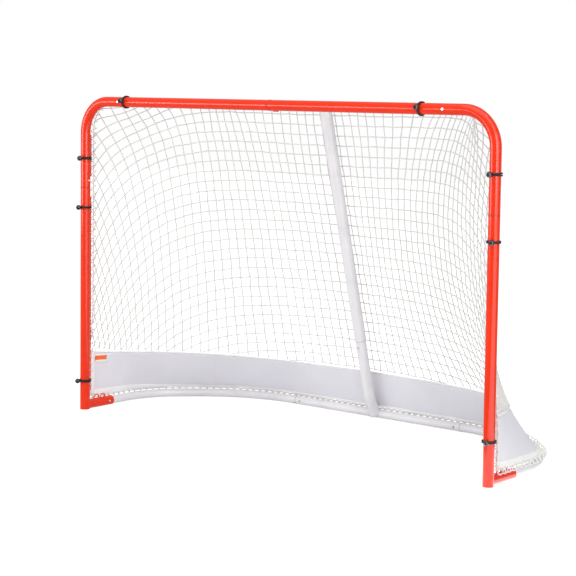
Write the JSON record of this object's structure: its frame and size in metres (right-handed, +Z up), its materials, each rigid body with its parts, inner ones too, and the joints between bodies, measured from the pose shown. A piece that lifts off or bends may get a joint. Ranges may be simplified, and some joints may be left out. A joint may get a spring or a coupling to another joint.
{
  "type": "hockey goal net",
  "caption": "Free-standing tubular steel hockey goal with a laced cord net, a lobed floor tube, a leaning centre brace, a top shelf tube and a vinyl skirt.",
  "frame": {"origin": "on the floor, in the middle of the goal's footprint", "axes": "+X across the mouth towards the right post as seen from the front, +Y from the mouth to the back, +Z up"},
  "size_m": [1.9256, 0.7127, 1.2243],
  "materials": {
    "frame_paint": "glossy baked enamel",
    "tube_paint": "satin powder coat",
    "button_paint": "glossy enamel",
    "button_steel": "plated, smooth",
    "spring_steel": "oiled spring strip",
    "screw_steel": "bright zinc plate",
    "elastic_cord": "braided cover, matte",
    "ball_plastic": "moulded, semi-gloss",
    "net_cord": "knotted polyester twine",
    "lacing_cord": "braided cord",
    "tag_cloth": "woven ribbon",
    "skirt_vinyl": "coated cloth with a soft sheen"
  },
  "bodies": {
    "frame": {"crossbar_half_left": "frame_paint", "crossbar_half_right": "frame_paint", "lower_post_left": "frame_paint", "lower_post_right": "frame_paint", "base_socket_left": "frame_paint", "base_socket_right": "frame_paint", "socket_lacing_wire_left": "frame_paint", "socket_lacing_wire_right": "frame_paint", "crossbar_lacing_rod_left": "frame_paint", "crossbar_lacing_rod_right": "frame_paint", "upper_lacing_rod_left": "frame_paint", "upper_lacing_rod_right": "frame_paint", "lower_lacing_rod_left": "frame_paint", "lower_lacing_rod_right": "frame_paint", "base_tube_left": "tube_paint", "base_tube_right": "tube_paint", "base_tube_centre": "tube_paint", "brace_lower": "tube_paint", "brace_upper": "tube_paint", "brace_top_sleeve": "tube_paint", "shelf_tube_left": "tube_paint", "shelf_tube_right": "tube_paint", "shelf_end_plugs": "screw_steel", "shelf_screws": "screw_steel", "button_springs": "spring_steel", "elastic_loops": "elastic_cord", "elastic_balls": "ball_plastic", "net_back": "net_cord", "net_left": "net_cord", "net_right": "net_cord", "net_top": "net_cord", "skirt_back": "skirt_vinyl", "skirt_left": "skirt_vinyl", "skirt_right": "skirt_vinyl", "skirt_tag": "tag_cloth", "edge_cord_left": "lacing_cord", "edge_cord_right": "lacing_cord", "edge_cord_back": "lacing_cord"},
    "post_button_left_body": {"post_button_left": "button_steel"},
    "post_button_right_body": {"post_button_right": "button_steel"},
    "crossbar_button_body": {"crossbar_button": "button_paint"},
    "base_button_left_body": {"base_button_left": "button_steel"},
    "base_button_right_body": {"base_button_right": "button_steel"},
    "socket_button_left_body": {"socket_button_left": "button_steel"},
    "socket_button_right_body": {"socket_button_right": "button_steel"},
    "brace_button_body": {"brace_button": "button_steel"}
  },
  "joints": [
    {"name": "post_button_left_press", "type": "slide", "parent": "frame", "child": "post_button_left_body", "axis": [-1, 0, 0], "range_m": [0, 0.005], "stiffness_N_per_m": 1500, "springref_m": -0.002},
    {"name": "post_button_right_press", "type": "slide", "parent": "frame", "child": "post_button_right_body", "axis": [1, 0, 0], "range_m": [0, 0.005], "stiffness_N_per_m": 1500, "springref_m": -0.002},
    {"name": "crossbar_button_press", "type": "slide", "parent": "frame", "child": "crossbar_button_body", "axis": [0, 0, 1], "range_m": [0, 0.005], "stiffness_N_per_m": 1500, "springref_m": -0.002},
    {"name": "base_button_left_press", "type": "slide", "parent": "frame", "child": "base_button_left_body", "axis": [0, 1, 0], "range_m": [0, 0.005], "stiffness_N_per_m": 1500, "springref_m": -0.002},
    {"name": "base_button_right_press", "type": "slide", "parent": "frame", "child": "base_button_right_body", "axis": [0, 1, 0], "range_m": [0, 0.005], "stiffness_N_per_m": 1500, "springref_m": -0.002},
    {"name": "socket_button_left_press", "type": "slide", "parent": "frame", "child": "socket_button_left_body", "axis": [-1, 0, 0], "range_m": [0, 0.005], "stiffness_N_per_m": 1500, "springref_m": -0.002},
    {"name": "socket_button_right_press", "type": "slide", "parent": "frame", "child": "socket_button_right_body", "axis": [1, 0, 0], "range_m": [0, 0.005], "stiffness_N_per_m": 1500, "springref_m": -0.002},
    {"name": "brace_button_press", "type": "slide", "parent": "frame", "child": "brace_button_body", "axis": [0, 0.9658, 0.2592], "range_m": [0, 0.005], "stiffness_N_per_m": 1500, "springref_m": -0.002}
  ]
}
